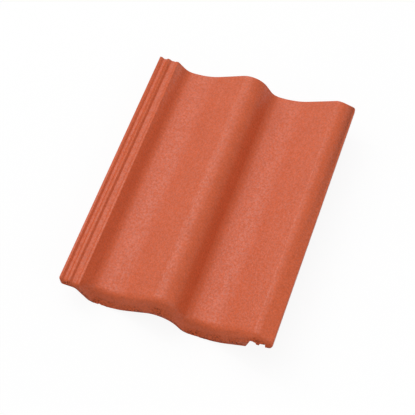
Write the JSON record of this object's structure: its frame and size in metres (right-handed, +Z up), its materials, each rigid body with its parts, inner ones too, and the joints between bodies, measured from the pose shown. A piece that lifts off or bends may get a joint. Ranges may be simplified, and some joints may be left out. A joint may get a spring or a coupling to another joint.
{
  "type": "interlocking roof tile",
  "caption": "Interlocking concrete roof tile with a double wave, ribbed side locks, a rounded nose over a deep foot, and nibs under the head end.",
  "frame": {"origin": "centre of the bounding box in X and Y, at the level of the floor that the foot and nibs rest on", "axes": "+Y from the eaves end up to the head end, +X from the water lock to the overlock, +Z up out of the weather side"},
  "size_m": [0.33, 0.42, 0.0641],
  "materials": {
    "concrete": "matte"
  },
  "bodies": {
    "root": {"roof_tile": "concrete"}
  },
  "joints": []
}
